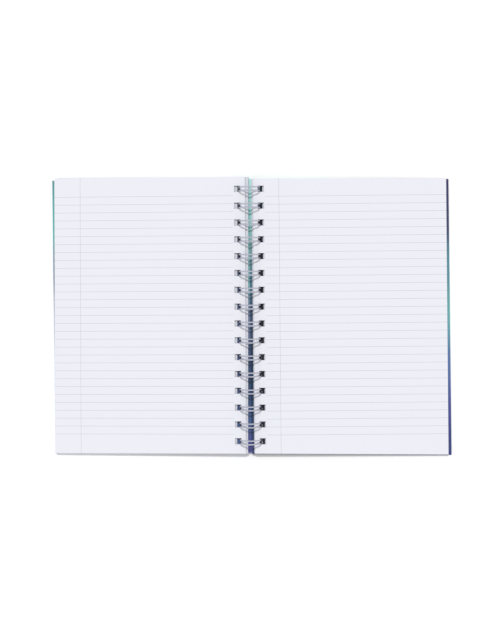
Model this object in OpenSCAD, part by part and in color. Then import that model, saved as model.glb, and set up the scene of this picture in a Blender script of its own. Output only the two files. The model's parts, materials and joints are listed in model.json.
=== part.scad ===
// Twin-loop wire-bound notebook, lying open near the middle.
// X runs across the spread, Y up the page to its head, Z up. The wire's axis lies over the Y axis.

/* [Pages] */
// Width of a leaf, from its spine edge to its fore-edge
page_w = 145.5; // [90:0.5:220]
// Height of a leaf, from its foot to its head
page_l = 208; // [120:1:260]
// Thickness of the pile that lies on the front cover
turned_t = 4; // [0.5:0.1:4.2]
// Thickness of the pile that lies on the back cover
remaining_t = 3; // [0.5:0.1:3.7]
// Gap between the two piles when the notebook is closed
closed_gap = 0.4; // [0.2:0.1:1]
// Turn of the left-hand pile in its own plane, from the play in its holes
turned_turn = -0.1; // [-0.4:0.05:0.4]
// Turn of the right-hand pile in its own plane
remaining_turn = 0.25; // [-0.4:0.05:0.4]
// How far the lowest leaf on the left has slid towards the spine
turned_slide = 0.5; // [0:0.1:0.8]

/* [Covers] */
// How much wider a cover board is than a leaf
cover_extra_w = 4.5; // [1:0.5:8]
// How far a cover board stands past the leaves at the head, and at the foot
cover_over_l = 0.3; // [0:0.1:2]
// Thickness of a cover board
cover_t = 1; // [0.5:0.1:1.1]
// How far the front cover has slid towards the spine from where the wire would stop it
front_slide = 1; // [0:0.1:1.1]
// How far the back cover has slid towards the spine
back_slide = 0.8; // [0:0.1:1.2]
// Turn of the front cover in its own plane, from the play in its holes
front_turn = 0.3; // [0:0.05:0.3]
// Turn of the back cover in its own plane
back_turn = 0.3; // [0:0.05:0.4]

/* [Holes] */
// Distance from one hole to the next along the spine
pitch = 12.7; // [9:0.1:14]
// Width of a hole across the spine
hole_w = 4.8; // [4.7:0.1:6]
// Length of a hole along the spine
hole_l = 4.7; // [4.3:0.1:6]
// Paper left between a hole and the spine edge
hole_margin = 3.4; // [2.6:0.1:3.6]
// How far the row of holes is set off towards the head
hole_shift = 1; // [-3:0.5:3]
// Least distance from the middle of an end hole to the head or the foot of a leaf
row_end = 6.5; // [5:0.5:12]

/* [Wire] */
// Outer diameter of a closed loop
ring_d = 16.6; // [16.2:0.1:20]
// Diameter of the wire
wire_d = 1.1; // [0.7:0.1:1.2]
// Distance between the two wires of a loop, centre to centre
pair_gap = 2.7; // [2.4:0.1:3]
// Radius of the wire's bends at the seam, along its centre line
bend_r = 1; // [0.8:0.05:1.2]
// Gap between a loop's rounded end and the bends that it closes against
seam_gap = 0.25; // [0.1:0.05:0.5]
// Length of the cut ends that stand past the first and last loops
stub_l = 1.6; // [0.5:0.1:3]
// Clearance between the wire and the edge of the hole that hangs on it
wire_play = 0.2; // [0.15:0.05:0.4]

/* [Hidden] */
$fn = 32;
LEAF_STEPS = 6;
CUT = 1;
CREST_ANGLE = 90;
CREST_LAP = 3;
wire_r = wire_d / 2;
loop_r = ring_d / 2 - wire_r;

// The seam's bends lie in a plane tangent to the loop, so its links stand out past the loop by a hair.
link_r = norm([loop_r, bend_r]);
axis_z = link_r + wire_r;
seam_turn = atan(bend_r / loop_r);
nest_l = sqrt(pow(pair_gap / 2 + bend_r + wire_d + seam_gap, 2) - pow(pair_gap / 2 + bend_r, 2));
nest_turn = nest_l / loop_r * 180 / PI;
foot_angle = 270 - seam_turn;
tip_angle = foot_angle + nest_turn - 360;
link_l = pitch - pair_gap - 2 * bend_r;

// As many loops as the leaf has room for
loops = floor((page_l - 2 * (row_end + abs(hole_shift))) / pitch) + 1;
row_y = [for (i = [0:loops - 1]) hole_shift + (i - (loops - 1) / 2) * pitch];
row_half = (loops - 1) * pitch / 2 + hole_l / 2;

// A sheet hangs on the inside of the wire by the spine side of its holes, at height w over the axis.
inside_r = loop_r - wire_r - wire_play;
function hang(w) = sqrt(pow(inside_r, 2) - pow(w, 2));

// A sheet that is turned in its plane hangs by its last hole, so its middle lies nearer the spine.
function sway(turn) = row_half * tan(abs(turn));

// Each pile lies on its board, with its top leaf just short of the axis.
pile_top = -closed_gap / 2;
front_low = pile_top - turned_t - cover_t;
back_low = pile_top - remaining_t - cover_t;
cover_w = page_w + cover_extra_w;
cover_l = page_l + 2 * cover_over_l;
front_edge = hang(front_low) - sway(front_turn) - front_slide - hole_margin;
back_edge = hang(back_low) - sway(back_turn) - back_slide - hole_margin;

// Slope that brings a board's lower fore-edge down to the table
function slope(edge, low) = asin(axis_z / norm([edge + cover_w, low])) - atan(-low / (edge + cover_w));
front_slope = slope(front_edge, front_low);
back_slope = slope(back_edge, back_low);

// Carries a sheet drawn flat for the right-hand side over to its place on the wire.
module lie_on_wire(side, slope_deg, turn, hinge_u)
    translate([0, 0, axis_z])
        rotate([0, side * slope_deg, 0])
            translate([side * hinge_u, hole_shift, 0])
                rotate([0, 0, turn])
                    scale_side(side)
                        translate([-hinge_u, -hole_shift, 0])
                            children();

module scale_side(side)
    if (side < 0) mirror([1, 0, 0]) children();
    else children();

// Extrudes an outline drawn across the spread along the spine.
module along_spine(length)
    translate([0, length / 2, 0])
        rotate([90, 0, 0])
            linear_extrude(height = length)
                children();

module board(edge, low)
    difference() {
        along_spine(cover_l)
            translate([edge, low])
                square([cover_w, cover_t]);
        for (y = row_y)
            translate([edge + hole_margin, y - hole_l / 2, low - CUT])
                cube([hole_w, hole_l, cover_t + 2 * CUT]);
    }

// Outline of a pile between two distances from the hanging line, each leaf set in to its own place.
module leaf_stack(from_u, to_u, thickness, back_off, slide)
    let (steps = [for (i = [0:LEAF_STEPS]) i / LEAF_STEPS])
        polygon(concat(
            [for (s = steps) leaf_point(s, from_u, thickness, back_off, slide)],
            [for (s = steps) leaf_point(1 - s, to_u, thickness, back_off, slide)]
        ));

function leaf_point(share, u, thickness, back_off, slide) =
    let (w = pile_top - thickness * (1 - share))
        [hang(w) - back_off - slide * (1 - share) + u, w];

module pile(thickness, back_off, slide)
    difference() {
        along_spine(page_l)
            leaf_stack(-hole_margin, page_w - hole_margin, thickness, back_off, slide);
        for (y = row_y)
            translate([0, y, 0])
                along_spine(hole_l)
                    leaf_stack(0, hole_w, thickness, back_off, slide);
    }

module front_cover()
    color("#5f8f98")
        lie_on_wire(-1, front_slope, front_turn, front_edge + hole_margin)
            board(front_edge, front_low);

module back_cover()
    color("#3b5c8c")
        lie_on_wire(1, back_slope, back_turn, back_edge + hole_margin)
            board(back_edge, back_low);

module turned_pages()
    color("#e6e8f2")
        lie_on_wire(-1, front_slope, turned_turn, inside_r)
            pile(turned_t, sway(turned_turn), turned_slide);

module remaining_pages()
    color("#eceef8")
        lie_on_wire(1, back_slope, remaining_turn, inside_r)
            pile(remaining_t, sway(remaining_turn), 0);

// Turns a shape drawn in the XY plane into the plane of a loop, at angle 0 on the right.
module in_loop_plane(y)
    translate([0, y, axis_z])
        rotate([90, 0, 0])
            children();

// Lays a bend in the plane tangent to the loop: X goes on round the loop, Y up the spine.
module on_tangent()
    translate([loop_r, 0, 0])
        rotate([-90, 0, 90])
            children();

// Wire bent about the Z axis, from angle 0
module bent_wire(radius, sweep_deg)
    rotate_extrude(angle = sweep_deg)
        translate([radius, 0])
            circle(r = wire_r);

module straight_wire(length)
    rotate([-90, 0, 0])
        cylinder(r = wire_r, h = length);

module both_wires()
    for (side = [-1, 1])
        translate([0, 0, side * pair_gap / 2])
            children();

// The rounded end and the part of the loop that rises from it to the crest
module tip_half()
    rotate([0, 0, tip_angle]) {
        both_wires()
            bent_wire(loop_r, CREST_ANGLE + CREST_LAP - tip_angle);
        on_tangent()
            rotate([0, 0, 90])
                bent_wire(pair_gap / 2, 180);
    }

// The part of the loop that drops from the crest, and the two feet that turn apart below it
module foot_half(down_l, up_l)
    rotate([0, 0, foot_angle]) {
        both_wires()
            bent_wire(loop_r, CREST_ANGLE - CREST_LAP - foot_angle);
        on_tangent() {
            translate([0, -pair_gap / 2 - bend_r, 0])
                foot(down_l);
            mirror([0, 1, 0])
                translate([0, -pair_gap / 2 - bend_r, 0])
                    foot(up_l);
        }
    }

module foot(length) {
    bent_wire(bend_r, 90);
    translate([bend_r, -length, 0])
        straight_wire(length);
}

module binding_wire()
    color("#c9ccd2")
        for (i = [0:loops - 1])
            in_loop_plane(row_y[i])
                union() {
                    tip_half();
                    foot_half(i == 0 ? stub_l : link_l / 2, i == loops - 1 ? stub_l : link_l / 2);
                }

front_cover();
back_cover();
turned_pages();
remaining_pages();
binding_wire();
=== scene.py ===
import json
import math
import random

import bmesh
import bpy
from mathutils import Matrix, Vector


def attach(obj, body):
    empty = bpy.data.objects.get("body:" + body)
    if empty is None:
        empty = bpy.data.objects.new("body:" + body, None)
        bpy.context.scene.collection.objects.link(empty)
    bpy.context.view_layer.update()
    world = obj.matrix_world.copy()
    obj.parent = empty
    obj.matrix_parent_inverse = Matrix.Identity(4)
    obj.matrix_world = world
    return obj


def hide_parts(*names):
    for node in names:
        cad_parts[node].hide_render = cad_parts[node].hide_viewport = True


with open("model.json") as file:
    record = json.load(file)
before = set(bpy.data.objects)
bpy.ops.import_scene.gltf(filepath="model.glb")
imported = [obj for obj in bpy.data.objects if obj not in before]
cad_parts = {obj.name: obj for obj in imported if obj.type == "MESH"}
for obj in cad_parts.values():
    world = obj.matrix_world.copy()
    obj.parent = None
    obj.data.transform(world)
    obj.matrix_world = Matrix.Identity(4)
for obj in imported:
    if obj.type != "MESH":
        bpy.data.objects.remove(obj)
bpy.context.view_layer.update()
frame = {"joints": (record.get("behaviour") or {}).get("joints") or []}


# The view
# A camera hung over the open spread, as for a catalogue photograph on a white table. It stands a
# hair past square to the spine, so the notebook looks turned a little to the left, and a little to
# the right of the middle, which draws the right-hand page a touch larger than the left.
MM = 0.001
PICTURE_H_PX = 625
PIXEL_ON_PAGE = 0.7542 * MM
CAMERA_OVER_PAGE = 1000 * MM
PAGE_LEVEL = 8 * MM
SENSOR_MM = 36
SPREAD_TURN = math.radians(0.33)
CAMERA_ASIDE = math.radians(2.4)
AIM_X = 0.1 * MM
AIM_Y = 2.9 * MM

camera_data = bpy.data.cameras.new("overhead_camera")
camera_data.sensor_fit = "VERTICAL"
camera_data.sensor_height = SENSOR_MM
camera_data.lens = SENSOR_MM * CAMERA_OVER_PAGE / (PICTURE_H_PX * PIXEL_ON_PAGE)
camera = bpy.data.objects.new("overhead_camera", camera_data)
camera.rotation_euler = (0, CAMERA_ASIDE, -SPREAD_TURN)
back_from_page = camera.rotation_euler.to_matrix() @ Vector((0, 0, CAMERA_OVER_PAGE))
camera.location = Vector((AIM_X, AIM_Y, PAGE_LEVEL)) + back_from_page
bpy.context.scene.collection.objects.link(camera)
bpy.context.scene.camera = camera


# The cover boards
# Two stiff cards, printed all over with a soft wash of colour and laminated matt, then punched with
# one row of rectangular holes. They hang on the wire by the spine side of those holes.
AXIS_Z = frame["joints"][0]["pos_m"][2]
LOOPS = 16
PITCH = 12.7 * MM
HOLE_SHIFT = 1 * MM
HOLE_W = 4.8 * MM
HOLE_L = 4.7 * MM
HOLE_MARGIN = 3.4 * MM
ROW_Y = [HOLE_SHIFT + (i - (LOOPS - 1) / 2) * PITCH for i in range(LOOPS)]
HALF_ROW = (LOOPS - 1) * PITCH / 2 + HOLE_L / 2

WIRE_R = 0.55 * MM
LOOP_R = 7.75 * MM
WIRE_PLAY = 0.2 * MM
HANG_R = LOOP_R - WIRE_R - WIRE_PLAY

LEFT_PILE_T = 4 * MM
RIGHT_PILE_T = 3 * MM
PILE_TOP = -0.2 * MM
BOARD_W = 150.6 * MM
BOARD_T = 1 * MM
BOARD_ROUNDING = 0.12 * MM
FRONT_TURN = math.radians(0.3)
BACK_TURN = math.radians(0.33)
FRONT_SLIDE = 0.9 * MM
BACK_SLIDE = 1.2 * MM

# A trim is a sheet's length, how far its middle lies towards the head, and how far its head and
# foot run down for each unit of its width.
FRONT_TRIM = (208.6 * MM, 1 * MM, 0)
BACK_TRIM = (208.2 * MM, 0, 0.014)


def hang(level):
    """Where the spine side of a sheet's holes lies when it hangs on the wire at `level`."""
    return math.sqrt(HANG_R**2 - level**2)


def sway(turn):
    """How much nearer the spine a sheet's middle lies when it hangs askew by its last hole."""
    return HALF_ROW * math.tan(abs(turn))


FRONT_LOW = PILE_TOP - LEFT_PILE_T - BOARD_T
BACK_LOW = PILE_TOP - RIGHT_PILE_T - BOARD_T
FRONT_EDGE = hang(FRONT_LOW) - sway(FRONT_TURN) - FRONT_SLIDE - HOLE_MARGIN
BACK_EDGE = hang(BACK_LOW) - sway(BACK_TURN) - BACK_SLIDE - HOLE_MARGIN

# Each wash runs from the foot of the board to its head.
WASH_FRONT_SPINE = (
    "#525293", "#4a6390", "#354c6e", "#475a7e", "#7083a2",
    "#80c2c6", "#94d0cc", "#a8e8e6", "#d2f4f6",
)
WASH_FRONT_FORE = ("#e4e6f0", "#e0e2ec", "#dcdee8", "#c4c7d4", "#8a97a8", "#68aeac", "#5f9498")
# Painted shade for the row of holes on the leaf side, darker than the wash, foot to head.
FRONT_PUNCH_PAINTED_SHADE = ("#5c76aa", "#4c6090", "#4c5c84", "#50618a", "#505a7e", "#484c62", "#44465a")
WASH_BACK_SPINE = (
    "#3c4272", "#2c4062", "#223852", "#263a54", "#3a4a66",
    "#527284", "#739b9f", "#98cfca", "#b2e4de",
)
WASH_BACK_FORE = ("#3d4478", "#4a4f8c", "#5a74a0", "#6aa6a8", "#5c8c98", "#3f4668", "#34325a")
# Painted shade for the row of holes on the back board's leaf side, foot to head.
BACK_PUNCH_PAINTED_SHADE = ("#1c1e36", "#181a2c", "#181a2c", "#1a1c30")
WASH_L = 208.2 * MM
WASH_CLOUD = 38 * MM
WASH_DRIFT = 0.16
SPINE_WASH_END = 20 * MM
FORE_WASH_START = 130 * MM
# Where the painted shade of the holes lies across the board: middle, half width and fade.
PAINTED_SHADE_BAND = 8 * MM
PAINTED_SHADE_BAND_HALF = 4.7 * MM
PAINTED_SHADE_FADE = 1 * MM
FILM_GRAIN = 0.35 * MM


def colour(hex_code):
    parts = [int(hex_code[i : i + 2], 16) / 255 for i in (1, 3, 5)]
    return [c / 12.92 if c <= 0.04045 else ((c + 0.055) / 1.055) ** 2.4 for c in parts] + [1]


def node(tree, kind, inputs=(), **settings):
    made = tree.nodes.new(kind)
    for name, value in settings.items():
        setattr(made, name, value)
    for name, value in dict(inputs).items():
        if isinstance(value, bpy.types.NodeSocket):
            tree.links.new(value, made.inputs[name])
        else:
            made.inputs[name].default_value = value
    return made


def new_material(name):
    made = bpy.data.materials.new(name)
    made.use_nodes = True
    made.node_tree.nodes.clear()
    return made, made.node_tree


def foot_to_head_ramp(tree, along, hexes):
    ramp = node(tree, "ShaderNodeValToRGB", {"Fac": along})
    ramp.color_ramp.interpolation = "EASE"
    stops = ramp.color_ramp.elements
    stops[1].position = 1
    for i in range(1, len(hexes) - 1):
        stops.new(i / (len(hexes) - 1))
    for stop, code in zip(stops, hexes, strict=True):
        stop.color = colour(code)
    return ramp.outputs["Color"]


def printed_card_and_hole_shade(name, spine_hexes, punch_shade_hexes, fore_hexes):
    # Offset-printed card under a matt film: even colour, a soft broad sheen and a barely pebbled
    # skin, whose grain is drawn coarser than it is so that it shows. Along the row of holes, on
    # the side that the leaves lie on, painted shade darkens the wash for the shade in the holes.
    made, tree = new_material(name)
    place = node(tree, "ShaderNodeUVMap", uv_map="sheet").outputs["UV"]
    cloud = node(
        tree,
        "ShaderNodeTexNoise",
        {"Vector": place, "Scale": 1 / WASH_CLOUD, "Detail": 3.0, "Roughness": 0.45},
    )
    split = node(tree, "ShaderNodeSeparateXYZ", {"Vector": place})
    drift = node(
        tree,
        "ShaderNodeMath",
        {0: cloud.outputs["Fac"], 1: WASH_DRIFT, 2: 0.5 - WASH_DRIFT / 2},
        operation="MULTIPLY_ADD",
    )
    along = node(
        tree,
        "ShaderNodeMath",
        {0: split.outputs["Y"], 1: 1 / WASH_L, 2: drift.outputs["Value"]},
        operation="MULTIPLY_ADD",
    )
    across = node(
        tree,
        "ShaderNodeMapRange",
        {"Value": split.outputs["X"], "From Min": SPINE_WASH_END, "From Max": FORE_WASH_START},
        interpolation_type="SMOOTHSTEP",
    )
    mixed = node(
        tree,
        "ShaderNodeMix",
        {
            "Factor": across.outputs["Result"],
            "A": foot_to_head_ramp(tree, along.outputs["Value"], spine_hexes),
            "B": foot_to_head_ramp(tree, along.outputs["Value"], fore_hexes),
        },
        data_type="RGBA",
    )
    off_band = node(
        tree, "ShaderNodeMath", {0: split.outputs["X"], 1: PAINTED_SHADE_BAND}, operation="SUBTRACT"
    )
    from_band = node(tree, "ShaderNodeMath", {0: off_band.outputs["Value"]}, operation="ABSOLUTE")
    band = node(
        tree,
        "ShaderNodeMapRange",
        {
            "Value": from_band.outputs["Value"],
            "From Min": PAINTED_SHADE_BAND_HALF,
            "From Max": PAINTED_SHADE_BAND_HALF + PAINTED_SHADE_FADE,
            "To Min": 1.0,
            "To Max": 0.0,
        },
        interpolation_type="SMOOTHSTEP",
    )
    # The painted shade of the holes lies on every face but the underside.
    shade_side = node(tree, "ShaderNodeAttribute", attribute_name="leaf_side_painted_shade")
    painted_shade_weight = node(
        tree,
        "ShaderNodeMath",
        {0: band.outputs["Result"], 1: shade_side.outputs["Fac"]},
        operation="MULTIPLY",
    )
    washed_and_shaded = node(
        tree,
        "ShaderNodeMix",
        {
            "Factor": painted_shade_weight.outputs["Value"],
            "A": mixed.outputs["Result"],
            "B": foot_to_head_ramp(tree, along.outputs["Value"], punch_shade_hexes),
        },
        data_type="RGBA",
    )
    pebble = node(
        tree, "ShaderNodeTexNoise", {"Vector": place, "Scale": 1 / FILM_GRAIN, "Detail": 2.0}
    )
    bump = node(
        tree,
        "ShaderNodeBump",
        {"Strength": 0.12, "Distance": 0.02 * MM, "Height": pebble.outputs["Fac"]},
    )
    film = node(
        tree,
        "ShaderNodeBsdfPrincipled",
        {
            "Base Color": washed_and_shaded.outputs["Result"],
            "Roughness": 0.42,
            "Specular IOR Level": 0.3,
            "Normal": bump.outputs["Normal"],
        },
    )
    node(tree, "ShaderNodeOutputMaterial", {"Surface": film.outputs["BSDF"]})
    return made


def punched_sheet(width, trim, thickness):
    """A flat sheet with its spine edge at x 0, its underside at z 0 and its holes cut out."""
    length, rise, off_square = trim
    bm = bmesh.new()
    bmesh.ops.create_grid(bm, x_segments=1, y_segments=1, size=0.5)
    bmesh.ops.scale(bm, vec=(width, length, 1), verts=bm.verts)
    bmesh.ops.translate(bm, vec=(width / 2, 0, 0), verts=bm.verts)
    cuts = [(x, 0, 0) for x in (HOLE_MARGIN, HOLE_MARGIN + HOLE_W)]
    cuts += [(0, y + s * HOLE_L / 2, 0) for y in ROW_Y for s in (-1, 1)]
    for cut in cuts:
        normal = (1, 0, 0) if cut[0] else (0, 1, 0)
        bmesh.ops.bisect_plane(
            bm, geom=bm.verts[:] + bm.edges[:] + bm.faces[:], plane_co=cut, plane_no=normal
        )
    punched = [
        f
        for f in bm.faces
        if HOLE_MARGIN < f.calc_center_median().x < HOLE_MARGIN + HOLE_W
        and any(abs(f.calc_center_median().y - y) < HOLE_L / 2 for y in ROW_Y)
    ]
    bmesh.ops.delete(bm, geom=punched, context="FACES")

    # Past the row of holes there is only the head and the foot, which take the trim.
    for vert in bm.verts:
        if abs(vert.co.y) > ROW_Y[-1] + HOLE_L:
            vert.co.y += rise - off_square * vert.co.x
    raised = bmesh.ops.extrude_face_region(bm, geom=bm.faces[:])["geom"]
    bmesh.ops.translate(
        bm, vec=(0, 0, thickness), verts=[v for v in raised if isinstance(v, bmesh.types.BMVert)]
    )
    bmesh.ops.recalc_face_normals(bm, faces=bm.faces)
    return bm


def flat_uv(bm):
    layer = bm.loops.layers.uv.new("sheet")
    for face in bm.faces:
        for corner in face.loops:
            corner[layer].uv = corner.vert.co.xy


def slope_of(edge, low):
    """Slope that brings the lower fore-edge of a board down to the table."""
    reach = edge + BOARD_W
    return math.asin(AXIS_Z / math.hypot(reach, low)) - math.atan(-low / reach)


FRONT_SLOPE = slope_of(FRONT_EDGE, FRONT_LOW)
BACK_SLOPE = slope_of(BACK_EDGE, BACK_LOW)


def place_on_wire(side, slope, turn, pivot, edge, level):
    """Carries a flat sheet to its place on the left (side -1) or the right (side 1) of the wire.

    Its spine edge comes to `edge`, its underside to `level`, and it turns in its plane at `pivot`.
    """
    return (
        Matrix.Translation((0, 0, AXIS_Z))
        @ Matrix.Rotation(side * slope, 4, "Y")
        @ Matrix.Translation((side * pivot, HOLE_SHIFT, 0))
        @ Matrix.Rotation(turn, 4, "Z")
        @ Matrix.Scale(side, 4, (1, 0, 0))
        @ Matrix.Translation((edge - pivot, -HOLE_SHIFT, level))
    )


def piece_from(bm, name, material, body, cad_node):
    mesh = bpy.data.meshes.new(name)
    bm.to_mesh(mesh)
    bm.free()
    mesh.materials.append(material)
    made = bpy.data.objects.new(name, mesh)
    bpy.context.scene.collection.objects.link(made)
    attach(made, body)
    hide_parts(cad_node)
    return made


def cover_board(name, side, slope, turn, trim, edge, low, material, body, cad_node):
    bm = punched_sheet(BOARD_W, trim, BOARD_T)
    rims = [e for e in bm.edges if e.is_manifold and e.calc_face_angle() > math.radians(45)]
    bmesh.ops.bevel(
        bm,
        geom=rims,
        affect="EDGES",
        offset=BOARD_ROUNDING,
        segments=2,
        profile=0.5,
        material=-1,
    )
    flat_uv(bm)

    # The underside alone faces away from the leaves; all other faces take the painted shade.
    shade_side = bm.faces.layers.float.new("leaf_side_painted_shade")
    for face in bm.faces:
        face[shade_side] = 1 if face.normal.z > -0.5 else 0
    place = place_on_wire(side, slope, turn, edge + HOLE_MARGIN, edge, low)
    bmesh.ops.transform(bm, matrix=place, verts=bm.verts)
    if side < 0:
        bmesh.ops.reverse_faces(bm, faces=bm.faces)
    return piece_from(bm, name, material, body, cad_node)


front_card = printed_card_and_hole_shade(
    "matt_laminated_card_front", WASH_FRONT_SPINE, FRONT_PUNCH_PAINTED_SHADE, WASH_FRONT_FORE
)
back_card = printed_card_and_hole_shade(
    "matt_laminated_card_back", WASH_BACK_SPINE, BACK_PUNCH_PAINTED_SHADE, WASH_BACK_FORE
)
cover_board(
    name="front_board",
    side=-1,
    slope=FRONT_SLOPE,
    turn=FRONT_TURN,
    trim=FRONT_TRIM,
    edge=FRONT_EDGE,
    low=FRONT_LOW,
    material=front_card,
    body="front_half",
    cad_node="front_cover",
)
cover_board(
    name="back_board",
    side=1,
    slope=BACK_SLOPE,
    turn=BACK_TURN,
    trim=BACK_TRIM,
    edge=BACK_EDGE,
    low=BACK_LOW,
    material=back_card,
    body="back_half",
    cad_node="back_cover",
)


# The leaves
# Two piles of loose ruled sheets of smooth, faintly blue-white writing paper, punched together with
# the boards. Each leaf hangs on the wire by its own holes, so lower leaves lie nearer the spine.
LEAF_W = 145.3 * MM
LEAF_T = 0.1 * MM
LEAF_GAP = 0.006 * MM
LEFT_TRIM = (208.9 * MM, 0.9 * MM, 0)
RIGHT_TRIM = (207.4 * MM, 0.3 * MM, 0.0119)
RIGHT_DROP = -0.1 * MM

# Groups of leaves from the board up: how many, their turn, and where their spine edge has slid to,
# with None where they hang tight on the wire.
LEFT_GROUPS = ((22, math.radians(-0.35), 1.55 * MM), (18, math.radians(-0.1), None))
RIGHT_GROUPS = ((16, math.radians(0.33), 2.7 * MM), (14, math.radians(0.18), None))
SLIP_ACROSS = 0.16 * MM
SLIP_ALONG = 0.08 * MM
SLIP_TURN = math.radians(0.02)
SHADE_SPREAD = 0.14

RULE_GAP = 6 * MM
RULE_COUNT = 31
RULE_W = 0.24 * MM
RULE_END = 9 * MM
LEFT_TOP_RULE = 91.1 * MM
LEFT_MARGIN_LINE = 125.5 * MM
RIGHT_TOP_RULE = 90.5 * MM
RIGHT_MARGIN_LINE = 19.4 * MM
PAPER = "#e1e2e9"
RULE_INK = "#b5b8c5"
# Painted shade on the cut walls of the holes and of the spine edge.
CUT_WALL_PAINTED_SHADE = "#8a8ea2"
FIBRE = 0.25 * MM


def on_rule(tree, height, top_rule):
    """1 on a ruled line and 0 beside it, for lines that go on at the same gap both ways."""
    from_gap = node(
        tree, "ShaderNodeMath", {0: height, 1: top_rule - RULE_GAP / 2}, operation="SUBTRACT"
    )
    lap = node(
        tree,
        "ShaderNodeMath",
        {0: from_gap.outputs["Value"], 1: RULE_GAP},
        operation="FLOORED_MODULO",
    )
    away = node(
        tree, "ShaderNodeMath", {0: lap.outputs["Value"], 1: RULE_GAP / 2}, operation="SUBTRACT"
    )
    near = node(tree, "ShaderNodeMath", {0: away.outputs["Value"]}, operation="ABSOLUTE")
    return node(
        tree, "ShaderNodeMath", {0: near.outputs["Value"], 1: RULE_W / 2}, operation="LESS_THAN"
    ).outputs["Value"]


def between(tree, coordinate, low, high):
    above = node(tree, "ShaderNodeMath", {0: coordinate, 1: low}, operation="GREATER_THAN")
    below = node(tree, "ShaderNodeMath", {0: coordinate, 1: high}, operation="LESS_THAN")
    return node(
        tree,
        "ShaderNodeMath",
        {0: above.outputs["Value"], 1: below.outputs["Value"]},
        operation="MULTIPLY",
    ).outputs["Value"]


def ruled_paper(name, top_rule, margin_line):
    # Smooth uncoated writing paper: dead matt, very slightly blue, thin pale grey ruling. Its fibre
    # is drawn coarser than it is so that it shows.
    made, tree = new_material(name)
    place = node(tree, "ShaderNodeUVMap", uv_map="sheet").outputs["UV"]
    split = node(tree, "ShaderNodeSeparateXYZ", {"Vector": place})
    across, along = split.outputs["X"], split.outputs["Y"]
    last_rule = top_rule - (RULE_COUNT - 1) * RULE_GAP
    rules = node(
        tree,
        "ShaderNodeMath",
        {
            0: on_rule(tree, along, top_rule),
            1: between(tree, along, last_rule - RULE_GAP / 2, top_rule + RULE_GAP / 2),
        },
        operation="MULTIPLY",
    )
    off_spine = node(tree, "ShaderNodeMath", {0: across, 1: RULE_END}, operation="GREATER_THAN")
    ruled = node(
        tree,
        "ShaderNodeMath",
        {0: rules.outputs["Value"], 1: off_spine.outputs["Value"]},
        operation="MULTIPLY",
    )
    upright = between(tree, across, margin_line - RULE_W / 2, margin_line + RULE_W / 2)
    ink = node(
        tree, "ShaderNodeMath", {0: ruled.outputs["Value"], 1: upright}, operation="MAXIMUM"
    )
    fibre = node(
        tree, "ShaderNodeTexNoise", {"Vector": place, "Scale": 1 / FIBRE, "Detail": 4.0}
    )
    # Cut walls take painted shade; other faces a tone that differs at random from leaf to leaf.
    tone = node(tree, "ShaderNodeAttribute", attribute_name="leaf_tone_and_wall_shade")
    sheet_tone_and_wall_shade = node(
        tree,
        "ShaderNodeMix",
        {"Factor": tone.outputs["Fac"], "A": colour(PAPER), "B": colour(CUT_WALL_PAINTED_SHADE)},
        data_type="RGBA",
    )
    printed = node(
        tree,
        "ShaderNodeMix",
        {
            "Factor": ink.outputs["Value"],
            "A": sheet_tone_and_wall_shade.outputs["Result"],
            "B": colour(RULE_INK),
        },
        data_type="RGBA",
    )
    bump = node(
        tree,
        "ShaderNodeBump",
        {"Strength": 0.15, "Distance": 0.01 * MM, "Height": fibre.outputs["Fac"]},
    )
    paper = node(
        tree,
        "ShaderNodeBsdfPrincipled",
        {
            "Base Color": printed.outputs["Result"],
            "Roughness": 0.9,
            "Specular IOR Level": 0.25,
            "Normal": bump.outputs["Normal"],
        },
    )
    node(tree, "ShaderNodeOutputMaterial", {"Surface": paper.outputs["BSDF"]})
    return made


def leaf_pile(name, side, slope, thickness, groups, drop, trim, material, body, cad_node, seed):
    """Lays leaves from the board up, all moved `drop` along the spine by the play in the holes."""
    dice = random.Random(seed)
    flat = punched_sheet(LEAF_W, trim, LEAF_T - LEAF_GAP)
    flat_uv(flat)
    pattern = bpy.data.meshes.new("leaf_pattern")
    flat.to_mesh(pattern)

    # Painted shade darkens the walls of the holes and the spine edge, which shade each other.
    shaded_cut_walls = {
        f.index
        for f in flat.faces
        if abs(f.normal.z) < 0.5
        and f.calc_center_median().x < LEAF_W / 2
        and abs(f.calc_center_median().y) < HALF_ROW + HOLE_L
    }
    flat.free()
    pile = bmesh.new()
    tone = pile.faces.layers.float.new("leaf_tone_and_wall_shade")
    leaves = [(turn, edge) for count, turn, edge in groups for _ in range(count)]
    for laid, (turn, edge) in enumerate(leaves):
        level = PILE_TOP - thickness + laid * LEAF_T
        loose = 0 if laid == len(leaves) - 1 else 1
        tight = hang(level) - sway(turn) - HOLE_MARGIN
        slid = tight if edge is None else min(edge, tight)
        spine = slid - loose * dice.uniform(0, SLIP_ACROSS)
        askew = turn + loose * dice.uniform(-SLIP_TURN, SLIP_TURN)
        along = drop + loose * dice.uniform(-SLIP_ALONG, SLIP_ALONG)
        shade = loose * dice.uniform(0, SHADE_SPREAD)
        place = place_on_wire(side, slope, askew, spine + HOLE_MARGIN, spine, level)
        place = place @ Matrix.Translation((0, along, 0))
        first_vert, first_face = len(pile.verts), len(pile.faces)
        pile.from_mesh(pattern)
        pile.verts.ensure_lookup_table()
        pile.faces.ensure_lookup_table()
        bmesh.ops.transform(pile, matrix=place, verts=pile.verts[first_vert:])
        for i, face in enumerate(pile.faces[first_face:]):
            face[tone] = 1 if i in shaded_cut_walls else shade
    if side < 0:
        bmesh.ops.reverse_faces(pile, faces=pile.faces)
    bpy.data.meshes.remove(pattern)
    return piece_from(pile, name, material, body, cad_node)


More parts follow.
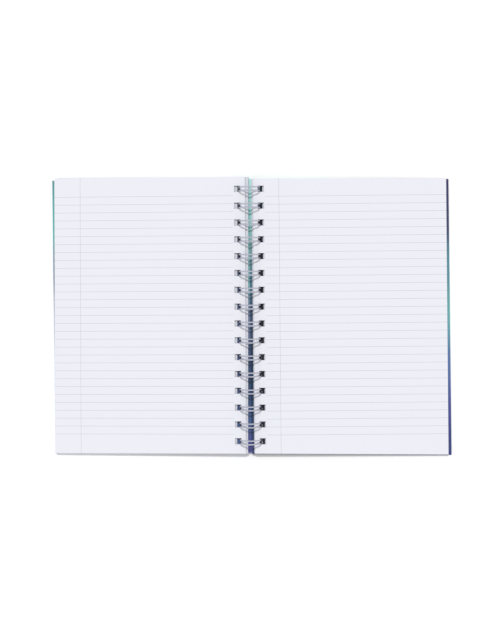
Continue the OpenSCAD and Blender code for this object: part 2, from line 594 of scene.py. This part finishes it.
left_paper = ruled_paper("ruled_writing_paper_left", LEFT_TOP_RULE, LEFT_MARGIN_LINE)
right_paper = ruled_paper("ruled_writing_paper_right", RIGHT_TOP_RULE, RIGHT_MARGIN_LINE)
leaf_pile(
    name="turned_leaves",
    side=-1,
    slope=FRONT_SLOPE,
    thickness=LEFT_PILE_T,
    groups=LEFT_GROUPS,
    drop=0,
    trim=LEFT_TRIM,
    material=left_paper,
    body="front_half",
    cad_node="turned_pages",
    seed=7,
)
leaf_pile(
    name="remaining_leaves",
    side=1,
    slope=BACK_SLOPE,
    thickness=RIGHT_PILE_T,
    groups=RIGHT_GROUPS,
    drop=RIGHT_DROP,
    trim=RIGHT_TRIM,
    material=right_paper,
    body="back_half",
    cad_node="remaining_pages",
    seed=11,
)


# The binding wire
# One length of bright plated steel wire, bent into a comb of hairpins, threaded through the holes
# and closed round so that each rounded end meets the foot of its own loop under the spine.
PAIR_GAP = 2.7 * MM
BEND_R = 1 * MM
SEAM_GAP = 0.25 * MM
STUB_L = 1.6 * MM
LEAN = 0.03
WIRE_SIDES = 14
LEG_STEPS = 64
TIP_STEPS = 14
BEND_STEPS = 8
PLATING = "#bfc1cd"
POLISH_PATCH = 1.2 * MM

LINK_L = PITCH - PAIR_GAP - 2 * BEND_R
SEAM_TURN = math.atan(BEND_R / LOOP_R)
NEST_L = math.sqrt(
    (PAIR_GAP / 2 + BEND_R + 2 * WIRE_R + SEAM_GAP) ** 2 - (PAIR_GAP / 2 + BEND_R) ** 2
)
LEG_TURN = math.tau - NEST_L / LOOP_R
FOOT_ANGLE = math.radians(270) - SEAM_TURN
TIP_ANGLE = FOOT_ANGLE - LEG_TURN
ALONG_SPINE = Vector((0, 1, 0))


def plated_wire():
    # Nickel-plated drawn steel: bright, with a polish that varies a little from place to place. The
    # patches are drawn coarser than the die's own marks so that they show.
    made, tree = new_material("nickel_plated_drawn_steel")
    place = node(tree, "ShaderNodeTexCoord").outputs["Object"]
    patches = node(
        tree, "ShaderNodeTexNoise", {"Vector": place, "Scale": 1 / POLISH_PATCH, "Detail": 3.0}
    )
    polish = node(
        tree,
        "ShaderNodeMapRange",
        {"Value": patches.outputs["Fac"], "To Min": 0.3, "To Max": 0.46},
    )
    metal = node(
        tree,
        "ShaderNodeBsdfPrincipled",
        {
            "Base Color": colour(PLATING),
            "Metallic": 1.0,
            "Roughness": polish.outputs["Result"],
        },
    )
    node(tree, "ShaderNodeOutputMaterial", {"Surface": metal.outputs["BSDF"]})
    return made


def out_from_axis(angle):
    return Vector((math.cos(angle), 0, math.sin(angle)))


def round_the_loop(angle):
    return Vector((-math.sin(angle), 0, math.cos(angle)))


def bend(bm, ring, centre, axis, angle, steps):
    turned = bmesh.ops.spin(
        bm, geom=ring, cent=centre, axis=axis, angle=angle, steps=steps, use_duplicate=False
    )
    return turned["geom_last"]


def run_straight(bm, rim, length):
    drawn = bmesh.ops.extrude_edge_only(bm, edges=rim)["geom"]
    corners = [v for v in drawn if isinstance(v, bmesh.types.BMVert)]
    bmesh.ops.translate(bm, vec=ALONG_SPINE * length, verts=corners)


def one_loop():
    """A loop of the comb at y 0, from the foot it starts on to the end of the link after it."""
    made = bmesh.new()
    foot_at = out_from_axis(FOOT_ANGLE) * LOOP_R
    tip_at = out_from_axis(TIP_ANGLE) * LOOP_R
    low_wire = -ALONG_SPINE * PAIR_GAP / 2
    high_wire = ALONG_SPINE * PAIR_GAP / 2
    low_bend = low_wire - ALONG_SPINE * BEND_R + foot_at
    high_bend = high_wire + ALONG_SPINE * BEND_R + foot_at
    inward = -out_from_axis(FOOT_ANGLE)
    quarter = math.pi / 2

    start = low_bend + round_the_loop(FOOT_ANGLE) * BEND_R
    circle = bmesh.ops.create_circle(made, cap_ends=False, radius=WIRE_R, segments=WIRE_SIDES)
    lie_along_spine = Matrix.Translation(start) @ Matrix.Rotation(math.pi / 2, 4, "X")
    bmesh.ops.transform(made, matrix=lie_along_spine, verts=circle["verts"])
    ring = made.verts[:] + made.edges[:]
    ring = bend(made, ring, low_bend, inward, quarter, BEND_STEPS)
    ring = bend(made, ring, low_wire, ALONG_SPINE, LEG_TURN, LEG_STEPS)
    ring = bend(made, ring, tip_at, out_from_axis(TIP_ANGLE), math.pi, TIP_STEPS)
    ring = bend(made, ring, high_wire, -ALONG_SPINE, LEG_TURN, LEG_STEPS)
    ring = bend(made, ring, high_bend, inward, quarter, BEND_STEPS)
    run_straight(made, [e for e in ring if isinstance(e, bmesh.types.BMEdge)], LINK_L)
    return made


def lean_to_foot(bm):
    """Lets the loops lean a little towards the foot of the page, as the whole comb does in use."""
    for vert in bm.verts:
        vert.co.y -= LEAN * (vert.co.z + LOOP_R)


single = one_loop()
lean_to_foot(single)
loop_mesh = bpy.data.meshes.new("loop_pattern")
single.to_mesh(loop_mesh)
single.free()

comb = bmesh.new()
for y in ROW_Y:
    first_vert = len(comb.verts)
    comb.from_mesh(loop_mesh)
    comb.verts.ensure_lookup_table()
    bmesh.ops.translate(comb, vec=(0, y, AXIS_Z), verts=comb.verts[first_vert:])
bpy.data.meshes.remove(loop_mesh)
bmesh.ops.remove_doubles(comb, verts=comb.verts, dist=0.001 * MM)

# The first foot gets a cut stub, and the link after the last loop is cut back to one.
first_rim = [e for e in comb.edges if e.is_boundary and e.verts[0].co.y < 0]
last_rim = [e for e in comb.edges if e.is_boundary and e.verts[0].co.y > 0]
run_straight(comb, first_rim, -STUB_L)
last_corners = list({v for e in last_rim for v in e.verts})
bmesh.ops.translate(comb, vec=ALONG_SPINE * (STUB_L - LINK_L), verts=last_corners)
bmesh.ops.holes_fill(comb, edges=[e for e in comb.edges if e.is_boundary], sides=WIRE_SIDES)
bmesh.ops.recalc_face_normals(comb, faces=comb.faces)
for face in comb.faces:
    face.smooth = len(face.verts) == 4
piece_from(comb, "wire_comb", plated_wire(), "back_half", "binding_wire")


# The table and the light
# A seamless white table under an even white room, with one hard lamp high beyond the head of the
# page, a little to the left, which throws the short shadow below the covers and the wires.
TABLE_HALF = 3.0
TABLE_WHITE = "#f9f9f9"
ROOM_WHITE = "#ffffff"
ROOM = 0.7
LAMP = 1.5
LAMP_SPREAD = math.radians(3)
LAMP_OFF_VERTICAL = math.radians(22.5)
LAMP_ASIDE = math.radians(8)

table_mesh = bpy.data.meshes.new("table")
table_bm = bmesh.new()
bmesh.ops.create_grid(table_bm, x_segments=1, y_segments=1, size=TABLE_HALF)
table_bm.to_mesh(table_mesh)
table_bm.free()
table = bpy.data.objects.new("table", table_mesh)
bpy.context.scene.collection.objects.link(table)

# Matt paint: it takes the shadow and throws no glare.
painted, tree = new_material("matt_white_table_paint")
paint = node(tree, "ShaderNodeBsdfDiffuse", {"Color": colour(TABLE_WHITE)})
node(tree, "ShaderNodeOutputMaterial", {"Surface": paint.outputs["BSDF"]})
table_mesh.materials.append(painted)

# The room lights the notebook at ROOM, and is plain white where it is seen or mirrored.
world = bpy.data.worlds.new("white_room")
world.use_nodes = True
room = world.node_tree
room.nodes.clear()
ray = node(room, "ShaderNodeLightPath")
mirrored = node(
    room,
    "ShaderNodeMath",
    {0: ray.outputs["Is Glossy Ray"], 1: ray.outputs["Is Transmission Ray"]},
    operation="MAXIMUM",
)
seen = node(
    room,
    "ShaderNodeMath",
    {0: ray.outputs["Is Camera Ray"], 1: mirrored.outputs["Value"]},
    operation="MAXIMUM",
)
strength = node(
    room,
    "ShaderNodeMath",
    {0: seen.outputs["Value"], 1: 1 - ROOM, 2: ROOM},
    operation="MULTIPLY_ADD",
)
sky = node(
    room,
    "ShaderNodeBackground",
    {"Color": colour(ROOM_WHITE), "Strength": strength.outputs["Value"]},
)
node(room, "ShaderNodeOutputWorld", {"Surface": sky.outputs["Background"]})
bpy.context.scene.world = world

lamp_data = bpy.data.lights.new("key_lamp", "SUN")
lamp_data.energy = LAMP
lamp_data.angle = LAMP_SPREAD
lamp = bpy.data.objects.new("key_lamp", lamp_data)
lamp.rotation_euler = (-LAMP_OFF_VERTICAL, 0, LAMP_ASIDE)
lamp.visible_glossy = False
bpy.context.scene.collection.objects.link(lamp)

bpy.context.scene.view_settings.view_transform = "Standard"
